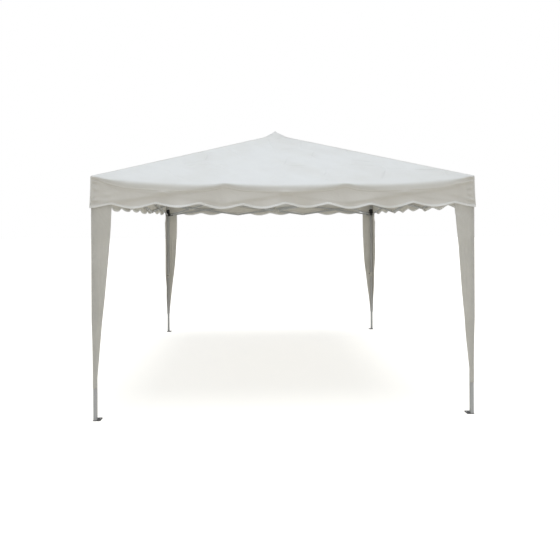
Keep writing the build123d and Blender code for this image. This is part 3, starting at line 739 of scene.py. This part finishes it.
faces, uvs = grid_faces(4 * per_side, len(rows), cover_map, sides=4)
for c in range(4 * per_side):  # triangles close the tip
    side, j = divmod(c, per_side)
    faces.append((len(points), c, (c + 1) % (4 * per_side)))
    uvs.append([(MAP_STEP * side, 0.0), cover_map(side, 0, j), cover_map(side, 0, j + 1)])
points.append([0.0, 0.0, TIP])
print(len(points), "points and", len(faces), "faces")

# %% [markdown]
# Real cloth is one sheet, so points that fall together are merged and all faces look outwards. The same
# helpers will serve the seams, the tapes and the drapes.


# %% Make the cover
def cloth_object(name, points, faces, uvs, material):
    """A sheet of cloth with its map. Doubled points are merged and its faces are made to agree."""
    mesh = bpy.data.meshes.new(name)
    mesh.from_pydata(np.reshape(points, (-1, 3)).tolist(), [], faces)
    mesh.materials.append(material)
    layer = mesh.uv_layers.new(name="cloth")
    layer.data.foreach_set("uv", np.array([uv for face in uvs for uv in face], np.float32).ravel())
    shaped = bmesh.new()
    shaped.from_mesh(mesh)
    bmesh.ops.remove_doubles(shaped, verts=shaped.verts, dist=1e-5)
    bmesh.ops.recalc_face_normals(shaped, faces=shaped.faces)
    shaped.to_mesh(mesh)
    shaped.free()
    mesh.polygons.foreach_set("use_smooth", [True] * len(mesh.polygons))
    return stand(name, mesh)


def area_of(piece):
    return sum(face.area for face in piece.data.polygons)


def face_out(piece, up, part=2):
    """Turns the sheet over if one of its faces looks inwards, or down for a roof."""
    face = piece.data.polygons[len(piece.data.polygons) // part]
    if Vector((face.center.x, face.center.y, up)) @ face.normal < 0:
        piece.data.flip_normals()


cover = cloth_object("cover_sheet", points, faces, uvs, roof_cloth)
face_out(cover, 0.7)
print(f"cover sheet {area_of(cover):.2f} m2, {len(cover.data.polygons)} faces")

# %% [markdown]
# ## Cloth that follows the frame
#
# When the frame folds, the legs come together and the cover falls into deep pleats between its
# supports. A hook ties each point to the bodies that carry it. A point between the four legs takes a
# share of each, so the sheet narrows with the frame. To make pleats, part of each share goes to the
# slider on the same leg: the sliders sink as the frame folds, so those points sink with them.
# A fold of cloth as long as half a bar's run has to hang about half as deep as a slider sinks, which
# makes the share the same at every angle.

# %% How far each point sinks
VALLEY = 0.58  # share of a slider's fall at the middle of a pair
fall_along_hip = (np.array([0.0, 0.25, 0.5, 0.75, 1.0]), np.array([1.0, 1.0, 0.40, 0.80, 0.0]))


def pleat_share(place):
    """How much of the sliders' fall a point of the cover takes."""
    out = np.maximum(np.abs(place[:, 0]), np.abs(place[:, 1]))
    t = np.clip(out / VALANCE_HALF, 1e-6, 1)
    along = np.where(np.abs(place[:, 0]) > np.abs(place[:, 1]), place[:, 1], place[:, 0]) / t
    within = np.clip((along + LEG_HALF - PIVOT_REACH) / PAIR_RUN, 0, 3)
    within = within - np.floor(np.clip(within, 0, 2.9999))
    tent = 1 - np.abs(2 * within - 1)
    tent = tent * tent * (3 - 2 * tent) * 0.5 + tent * 0.5
    share = np.interp(t, *fall_along_hip) + VALLEY * tent * t**2
    return unit(share)


crossing = np.array([[LEG_HALF - PIVOT_REACH - PAIR_RUN / 2, -VALANCE_HALF, TOP_PIVOT]])
print("share of a slider's fall at a bars' crossing:", pleat_share(crossing).round(2))

# %% [markdown]
# Hooks are simpler than an armature here, because each body is already an empty that moves. Cloth close
# to a leg stays with it, so that it never sinks into the bracket, and the point of the peak keeps its
# width over the pole's cap.

# %% Hooks and thickness
GRIP = 0.078  # cloth this near a leg's axis moves with the leg
FREE_NARROWING = 0.35  # how much of the narrowing a free drape takes
FREE_STEP = 0.14  # over this height a drape's top changes from sewn to free
POINT_KEEPS = (0.03, 0.15)  # from the middle: the point inside keeps its width, the cloth outside doesn't


def step(low, high, values):
    """0 below low, 1 above high, and a smooth rise between."""
    u = unit((values - low) / (high - low))
    return u * u * (3 - 2 * u)


def hook_cloth(piece, free_below=None):
    """Adds one hook for each leg and slider, with the weights that the fold needs.

    Below a height, cloth may hang free of the cover: it keeps more of its width and doesn't sink.
    """
    place = np.array([v.co for v in piece.data.vertices], float).reshape(-1, 3)
    sewn = np.ones(len(place))
    if free_below is not None:
        sewn = step(free_below - FREE_STEP, free_below, place[:, 2])
    share = pleat_share(place) * sewn
    reach = LEG_HALF - GRIP
    out = np.maximum(np.abs(place[:, 0]), np.abs(place[:, 1]))
    spread = step(*POINT_KEEPS, out)
    ux, uy = (0.5 + np.clip(place[:, i] / reach, -1, 1) / 2 * spread for i in (0, 1))
    narrowing = FREE_NARROWING + (1 - FREE_NARROWING) * sewn
    ux = np.where(ux < 0.5, ux * narrowing, 1 - (1 - ux) * narrowing)
    uy = np.where(uy < 0.5, uy * narrowing, 1 - (1 - uy) * narrowing)
    by_leg = [(1 - ux) * (1 - uy), ux * (1 - uy), ux * uy, (1 - ux) * uy]
    for leg, weight in zip(LEGS, by_leg):
        for kind, part in (("upper_leg", 1 - share), ("slider", share)):
            weights = weight * part
            if weights.max() < 1e-5:
                continue
            body = f"{kind}_{leg}"
            group = piece.vertex_groups.new(name=body)
            for number in np.nonzero(weights > 1e-6)[0]:
                group.add([int(number)], float(weights[number]), "REPLACE")
            hook = piece.modifiers.new(body, "HOOK")
            hook.object = frame["bodies"][body]
            hook.vertex_group = body
            hook.strength = 1.0
            hook.falloff_type = "NONE"
            hook.matrix_inverse = frame["bodies"][body].matrix_world.inverted() @ piece.matrix_world


def thicken(piece, metres):
    cloth = piece.modifiers.new("cloth", "SOLIDIFY")
    cloth.thickness = metres
    cloth.offset = -1.0
    cloth.use_rim = True


print(f"cloth within {GRIP} m of a leg's axis keeps to the leg")

# %% [markdown]
# ## Seams and binding
#
# The panels are joined by flat seams, two layers turned in and sewn down: one down each hip and on down
# the valance's corner, and one all round under the eave. The hem is wrapped in a narrow folded tape.
# Each is a thin strip that follows the cover's own function, lifted off it along its normal, so it
# keeps to every dip and mark without being fitted by hand.

# %% Follow the surface at a small distance
def lifted(side, a, row, lift):
    """A point of the cover, moved out of the cloth along its normal."""
    a, row, lift = np.broadcast_arrays(*(np.asarray(v, float) for v in (a, row, lift)))
    step_a = np.where(a > 0, -1e-4, 1e-4)
    step_row = np.where(row > 2.5, -2e-3, 2e-3)
    place = cover_points(side, a, row)
    along = (cover_points(side, a + step_a, row) - place) * np.sign(step_a)[..., None]
    down = (cover_points(side, a, row + step_row) - place) * np.sign(step_row)[..., None]
    normal = np.cross(down, along)
    normal /= np.maximum(np.linalg.norm(normal, axis=-1, keepdims=True), 1e-12)
    return place + normal * lift[..., None]


def hip_point(corner, d, row, lift):
    """Beside the hip of a corner, d metres from it: towards the side that starts here if d is positive."""
    t = np.clip(row, 0.02, 1)
    spread = np.where(row < 1, sqrt(2) / t, sqrt(2) + (1 - sqrt(2)) * unit(row - 1))
    a = VALANCE_HALF - np.abs(d) * spread
    here = lifted(corner, -a, row, lift)
    before = lifted((corner - 1) % 4, a, row, lift)
    return np.where((d >= 0)[..., None], here, before)


def valance_fall(side, a):
    return eave_height(a) - bend_radius(a) - hem_height(side, a)


def hem_row(side, a, above):
    """The row of the cover that lies this far above the hem."""
    return 3 - above / valance_fall(side, a)


print(f"the valance falls {valance_fall(0, 0.0):.3f} m at the middle of the front")


# %% [markdown]
# A hip seam is a strip of seven lines. Its edges lie on the cover and its middle is a little lower than
# its sides, as the two rows of stitches pull it in.

# %% Hip seams
SEAM_HALF = 0.008
SEAM_LIFT = 0.0014
seam_across = np.array([-1.0, -0.94, -0.5, 0.0, 0.5, 0.94, 1.0])
seam_lift = np.array([0.0002, 1.0, 0.9, 0.82, 0.9, 1.0, 0.0002]) * SEAM_LIFT
seam_rows = rows_down(np.linspace(0.04, 1, 60), 9, 14)
cloth_parts = []
for corner, leg in enumerate(LEGS):
    d, row = np.broadcast_arrays(seam_across * SEAM_HALF, seam_rows[:, None])
    grid = hip_point(corner, d, row, np.broadcast_to(seam_lift, d.shape))
    faces, uvs = grid_faces(
        len(seam_across), len(seam_rows), lambda _, i, j: (seam_across[j] * SEAM_HALF, seam_rows[i])
    )
    seam = cloth_object(f"hip_seam_{leg}", grid, faces, uvs, seam_cloth)
    face_out(seam, 0.7)
    cloth_parts.append(seam)
print(len(cloth_parts), "hip seams")

# %% [markdown]
# The eave seam is a flat strip under the bend, 10 mm wide. The binding is a tape folded over the raw
# hem, so its section runs up the outside, round the edge and up the inside.

# %% Eave seam and hem binding
seam_drop = np.array([0.010, 0.0106, 0.015, 0.0194, 0.020])  # across the strip, down from the bend
drop_lift = np.array([0.0002, 0.0008, 0.0007, 0.0008, 0.0002])


def eave_seam_point(side, a, number):
    place, lift = np.broadcast_arrays(np.asarray(a, float), seam_drop[number])[0], drop_lift[number]
    return lifted(side, place, 2 + seam_drop[number] / valance_fall(side, place), lift)


tape_above = np.array([0.0165, 0.0160, 0.0080, 0.0008, -0.0012, -0.0012, 0.0008, 0.0080, 0.0160, 0.0165])
tape_lift = np.array([0.0001, 0.0011, 0.0012, 0.0012, 0.0006, -0.0018, -0.0024, -0.0024, -0.0023, -0.0013])
TAPE_MAP = 0.004  # metres on the map from one line of the tape to the next


def tape_point(side, a, number):
    a = np.broadcast_arrays(np.asarray(a, float), tape_above[number])[0]
    return lifted(side, a, hem_row(side, a, tape_above[number]), tape_lift[number])


for name, point_of, count, material in (
    ("eave_seam", eave_seam_point, len(seam_drop), eave_cloth),
    ("hem_binding", tape_point, len(tape_above), tape_cloth),
):
    numbers = np.arange(count)[:, None]
    grid = np.concatenate([point_of(side, columns[None, :-1], numbers) for side in range(4)], 1)
    faces, uvs = grid_faces(
        4 * per_side, count, lambda side, i, j: (columns[j] + MAP_STEP * side, TAPE_MAP * i), sides=4
    )
    piece = cloth_object(name, grid, faces, uvs, material)
    face_out(piece, 0, part=50)  # a face of the first line, which lies outside
    cloth_parts.append(piece)
print(f"{len(cloth_parts)} seams and bindings")

# %% [markdown]
# ## Stitches
#
# Every seam is held by lockstitch. Stitches repeat along a path, so a Geometry Nodes tree makes them: it
# takes the path as a line of edges, puts points on it at even steps, lays a short six-sided thread at
# each point along the path, and realizes them. The real stitch is 4 mm long; it is drawn three times
# as long, or it would vanish in any view of the whole canopy.

# %% A tree that sews along a path
def stitch_tree():
    """Path, pitch, stitch length, thread radius and thread in; a mesh of stitches out."""
    tree = bpy.data.node_groups.new("lockstitch", "GeometryNodeTree")
    tree.interface.new_socket("Path", in_out="INPUT", socket_type="NodeSocketGeometry")
    for label, value in (("Pitch", 0.016), ("Stitch Length", 0.012), ("Thread Radius", 0.0009)):
        socket = tree.interface.new_socket(label, in_out="INPUT", socket_type="NodeSocketFloat")
        socket.default_value = value
    tree.interface.new_socket("Thread", in_out="INPUT", socket_type="NodeSocketMaterial")
    tree.interface.new_socket("Stitches", in_out="OUTPUT", socket_type="NodeSocketGeometry")
    inside = add(tree, "NodeGroupInput").outputs
    curve = add(tree, "GeometryNodeMeshToCurve", {"Mesh": inside["Path"]}).outputs[0]
    points = add(
        tree, "GeometryNodeResampleCurve", {"Curve": curve, "Length": inside["Pitch"]}, mode="LENGTH"
    )
    thread_piece = add(
        tree,
        "GeometryNodeMeshCylinder",
        {"Radius": inside["Thread Radius"], "Depth": inside["Stitch Length"]},
        Vertices=6,
    ).outputs["Mesh"]
    tangent = add(tree, "GeometryNodeInputTangent").outputs[0]
    turned = add(tree, "FunctionNodeAlignRotationToVector", {"Vector": tangent}, axis="Z").outputs[0]
    laid = add(
        tree,
        "GeometryNodeInstanceOnPoints",
        {"Points": points.outputs[0], "Instance": thread_piece, "Rotation": turned},
    ).outputs[0]
    real = add(tree, "GeometryNodeRealizeInstances", {"Geometry": laid}).outputs[0]
    finished = add(tree, "GeometryNodeSetMaterial", {"Geometry": real, "Material": inside["Thread"]})
    add(tree, "NodeGroupOutput", {"Stitches": finished.outputs[0]})
    return tree


lockstitch = stitch_tree()
print(len(lockstitch.nodes), "nodes in the stitch tree")

# %% [markdown]
# The hooks hold points, so the tree is applied at once and its result kept as a plain mesh.


# %% Stitches along a line
def sew(name, paths):
    """One mesh of stitches along closed or open lines of points."""
    points, edges = [], []
    for path, closed in paths:
        start = len(points)
        points.extend(path.tolist())
        edges.extend((start + i, start + i + 1) for i in range(len(path) - 1))
        if closed:
            edges.append((len(points) - 1, start))
    line = bpy.data.meshes.new(f"{name}_path")
    line.from_pydata(points, edges, [])
    holder = stand(f"{name}_path", line)
    sewing = holder.modifiers.new("sewing", "NODES")
    sewing.node_group = lockstitch
    ids = {item.name: item.identifier for item in lockstitch.interface.items_tree}
    sewing[ids["Thread"]] = thread
    done = holder.evaluated_get(bpy.context.evaluated_depsgraph_get())
    mesh = bpy.data.meshes.new_from_object(done)
    bpy.data.objects.remove(holder)
    return stand(name, mesh)


# %% [markdown]
# Two rows run down each hip seam, one on each side, and one row runs round the eave seam and the tape.

# %% Sew the seams
hip_rows = rows_down(np.linspace(0.06, 1, 50), 7, 10, last=0.9)
HIP_STITCH = 0.0055  # from the middle of a hip seam to its stitches
STITCH_DROP = 0.0125  # of the eave's stitches under the bend, and of the hem's above the edge
HIP_LIFT, RING_LIFT = 0.0016, 0.0014  # the threads' middles stand this far off the cover
hip_paths = [
    (hip_point(corner, np.full(len(hip_rows), d), hip_rows, HIP_LIFT), False)
    for corner in range(4)
    for d in (-HIP_STITCH, HIP_STITCH)
]


def ring_path(point_of):
    return np.concatenate([point_of(side, columns[:-1]) for side in range(4)])


def below_eave(side, a):
    return lifted(side, a, 2 + STITCH_DROP / valance_fall(side, a), RING_LIFT)


def on_tape(side, a):
    return lifted(side, a, hem_row(side, a, STITCH_DROP), RING_LIFT)


for name, paths in (
    ("hip_stitches", hip_paths),
    ("eave_stitches", [(ring_path(below_eave), True)]),
    ("hem_stitches", [(ring_path(on_tape), True)]),
):
    sewn = sew(name, paths)
    cloth_parts.append(sewn)
    print(name, len(sewn.data.polygons), "faces")

# %% [markdown]
# The cover, its seams, its binding and its stitches take the same hooks, so they fold as one cloth.
# The cover itself gets its thickness last, on the finished sheet.

# %% Let the cover and all that is sewn on it follow the frame
for piece in (cover, *cloth_parts):
    hand_over(piece, "hub", "canopy_cover")
    hook_cloth(piece)
thicken(cover, 0.0012)

# %% [markdown]
# ## Leg drapes
#
# At each corner a strip of the same cloth wraps round the leg and tapers to the foot. It is sewn under
# the valance, so its top is hidden and takes the valance's own marks, and its free edges hang in long
# soft folds. Low down it lies closer, against the thinner lower tube.

# %% The surface of a drape
DRAPE_OUT = COVER_HALF + 0.0005
DRAPE_ROUND = 0.009  # its bend round the corner, tighter than the valance's, to clear the slider
DRAPE_GAP = 0.0019  # this much nearer the slider's face, a drape would meet it
DRAPE_TOP = 1.705
DRAPE_FOOT = 0.250
drape_heights = np.array([0.25, 0.33, 0.50, 0.68, 0.92, 1.12, 1.30, 1.50, 1.62, 1.71])
drape_widths = np.array([0.029, 0.035, 0.053, 0.076, 0.103, 0.119, 0.131, 0.143, 0.147, 0.150])  # each wing


def wing(s, w, plane):
    """Across the drape, seen from above: out and back from the leg's corner, in the corner's own frame."""
    arc = DRAPE_ROUND * pi / 4
    angle = np.where(s < arc, s / DRAPE_ROUND, pi / 4)
    centre = plane - DRAPE_ROUND
    far = centre + DRAPE_ROUND * np.sin(pi / 4 + angle)  # the coordinate that ends on the side's plane
    near = centre + DRAPE_ROUND * np.cos(pi / 4 + angle) - np.maximum(s - arc, 0)
    return np.where(w < 0, far, near), np.where(w < 0, near, far)


def drape_points(turn, w, z, phase):
    """w runs -1 to 1 across the drape, round the corner; z is the height."""
    w, z = np.broadcast_arrays(np.asarray(w, float), np.asarray(z, float))
    width = smooth_table(z, drape_heights, drape_widths)
    edge = np.abs(w) ** 1.5
    width = width * (1 + 0.05 * np.sin(4.1 * z + phase + np.sign(w)) * edge)
    s = np.abs(w) * width
    low = unit((0.768 - z) / 0.45)
    plane = DRAPE_OUT - 0.0058 * low * (2 - low)
    out_x, out_y = wing(s, w, plane)
    hang = unit((1.60 - z) / 0.25)
    folds = 0.5 * np.sin(2 * pi * (s / 0.085) + 2.2 * z + phase)
    folds = folds + 0.5 * np.sin(2 * pi * (s / 0.047) - 1.4 * z + 2 * phase)
    ripple = 0.002 + 0.0050 * folds + 0.004 * np.sin(3.3 * z + phase * 1.7)
    ripple = ripple * hang * unit((s - 0.030) / 0.04)
    # short slanting creases under the hem, where the drape's weight hangs from its seam
    slant = np.exp(-(((z - 1.575) / 0.055) ** 2)) * unit(s / 0.02)
    ripple = ripple + 0.0016 * slant * np.sin(2 * pi * (s - 0.8 * (1.62 - z)) / 0.036 + phase)
    # under the valance the drape takes the valance's marks, so that neither pokes through the other
    sewn = unit((z - 1.56) / 0.06)
    left_side, right_side = (turn - 1) % 4, turn
    marks_left = bar_marks(left_side, out_y, z) + flutes(left_side, out_y, z)
    marks_right = bar_marks(right_side, -out_x, z) + flutes(right_side, -out_x, z)
    marks = np.where(w < 0, marks_left, marks_right) * sewn
    from_leg = VALANCE_HALF - np.where(w < 0, out_y, out_x)
    moved = np.maximum(marks, DRAPE_GAP - most_pull(from_leg)) + ripple
    out_x = out_x + np.where(w < 0, moved, 0)
    out_y = out_y + np.where(w < 0, 0, moved)
    cosine, sine = cos(turn * pi / 2), sin(turn * pi / 2)
    return np.stack([-out_x * cosine + out_y * sine, -out_x * sine - out_y * cosine, z], -1)


print("front left drape, at its edge near the foot:", drape_points(0, 1.0, DRAPE_FOOT, 0.4).round(3))

# %% [markdown]
# Each drape has its own phase, so no two hang alike. It rides on its upper leg, and its top takes the same
# hooks as the cover.

# %% Hang the drapes
across = np.sign(np.linspace(-1, 1, 49)) * np.abs(np.linspace(-1, 1, 49)) ** 1.25
heights = np.linspace(DRAPE_TOP, DRAPE_FOOT, 110)
WING, WING_STEP = 0.14, 0.5  # on the map: a wing's width, and from one drape to the next
for turn, leg in enumerate(LEGS):
    grid = drape_points(turn, across[None, :], heights[:, None], phase=1.3 * turn + 0.4)
    faces, uvs = grid_faces(
        len(across), len(heights), lambda _, i, j: (across[j] * WING + WING_STEP * turn, heights[i])
    )
    # the drapes' greyer colour is painted shade
    drape = cloth_object(f"drape_{leg}", grid, faces, uvs, shaded_drape_cloth)
    face_out(drape, 0)
    hand_over(drape, f"upper_leg_{leg}", "canopy_cover")
    hook_cloth(drape, free_below=1.62)
    thicken(drape, 0.0010)
    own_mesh(drape)

# %% [markdown]
# ## Camera, floor and light
#
# The camera stands at eye height a little left of the middle, three and a half metres from the front.
# The floor is pale and the light is plain: a bright sky from above and a softer one from the sides.

# %% Camera
camera_data = bpy.data.cameras.new("camera")
camera_data.sensor_width = 36.0
camera_data.lens = 28.301
camera_data.shift_x = 0.02196
camera_data.shift_y = -0.09209
camera = stand("camera", camera_data)
camera.location = (-0.2537, -4.9144, 1.4736)
camera.rotation_euler = (pi / 2, 0.0049, -0.0335)
bpy.context.scene.camera = camera
print("camera at", tuple(camera.location))

# %% [markdown]
# The floor is matt and pale, and it keeps the canopy's shadow. It looks white because it also glows, but
# only for rays that the camera, a gloss or glass sends: the light on the cloth doesn't change.


# %% Floor
def looked_at(tree):
    """1 for a ray from the camera, from a gloss or through glass, and 0 for light on the object."""
    path = add(tree, "ShaderNodeLightPath").outputs
    looked = path["Is Camera Ray"]
    for kind in ("Is Glossy Ray", "Is Transmission Ray"):
        looked = add(tree, "ShaderNodeMath", {0: looked, 1: path[kind]}, operation="MAXIMUM").outputs[0]
    return looked


floor_material, tree = new_material("pale_floor")
matt = add(tree, "ShaderNodeBsdfDiffuse", Color=linear("#DAD5CA"))
share = add(tree, "ShaderNodeMath", {0: looked_at(tree)}, operation="MULTIPLY", in_1=0.60).outputs[0]
glow = add(tree, "ShaderNodeEmission", {"Strength": share}, Color=(1, 1, 1, 1))
both = add(tree, "ShaderNodeAddShader", {0: matt.outputs[0], 1: glow.outputs[0]})
add(tree, "ShaderNodeOutputMaterial", {"Surface": both.outputs[0]})
floor_mesh = bpy.data.meshes.new("floor")
FLOOR_HALF = 60.0
floor_corners = [(x * FLOOR_HALF, y * FLOOR_HALF, 0) for x, y in ((-1, -1), (1, -1), (1, 1), (-1, 1))]
floor_mesh.from_pydata(floor_corners, [], [(0, 1, 2, 3)])
floor_mesh.materials.append(floor_material)
floor = stand("floor", floor_mesh)
print("floor", 2 * FLOOR_HALF, "m square")

# %% [markdown]
# The world is a soft sky for the object, warm near the ground and cool above, and plain white for the
# camera. One broad sun from almost overhead lights the roof and leaves the valance in its own shade.

# %% World and sun
world = bpy.data.worlds.new("studio")
bpy.context.scene.world = world
world.use_nodes = True
tree = world.node_tree
tree.nodes.clear()
white = add(tree, "ShaderNodeBackground", Color=(1, 1, 1, 1), Strength=1.0)
upwards = add(tree, "ShaderNodeSeparateXYZ", {0: add(tree, "ShaderNodeTexCoord").outputs["Generated"]})
tint = mixed(tree, ranged(tree, upwards.outputs["Z"], 0, 0.7), "#EBE0CF", "#E4EEFA")
sky = add(tree, "ShaderNodeBackground", {"Color": tint}, Strength=0.64)
both = add(tree, "ShaderNodeMixShader", {0: looked_at(tree), 1: sky.outputs[0], 2: white.outputs[0]})
add(tree, "ShaderNodeOutputWorld", {"Surface": both.outputs[0]})

sun_data = bpy.data.lights.new("high_sky", "SUN")
sun_data.energy = 1.62
sun_data.angle = radians(40)
sun_data.color = linear("#F4F8FF")[:3]
sun = stand("high_sky", sun_data)
sun.rotation_euler = (radians(4), radians(6), 0)
print("sun strength", sun_data.energy)

# %% [markdown]
# ## The view
#
# The Standard view shows each colour about as it is written.

bpy.context.scene.view_settings.view_transform = "Standard"
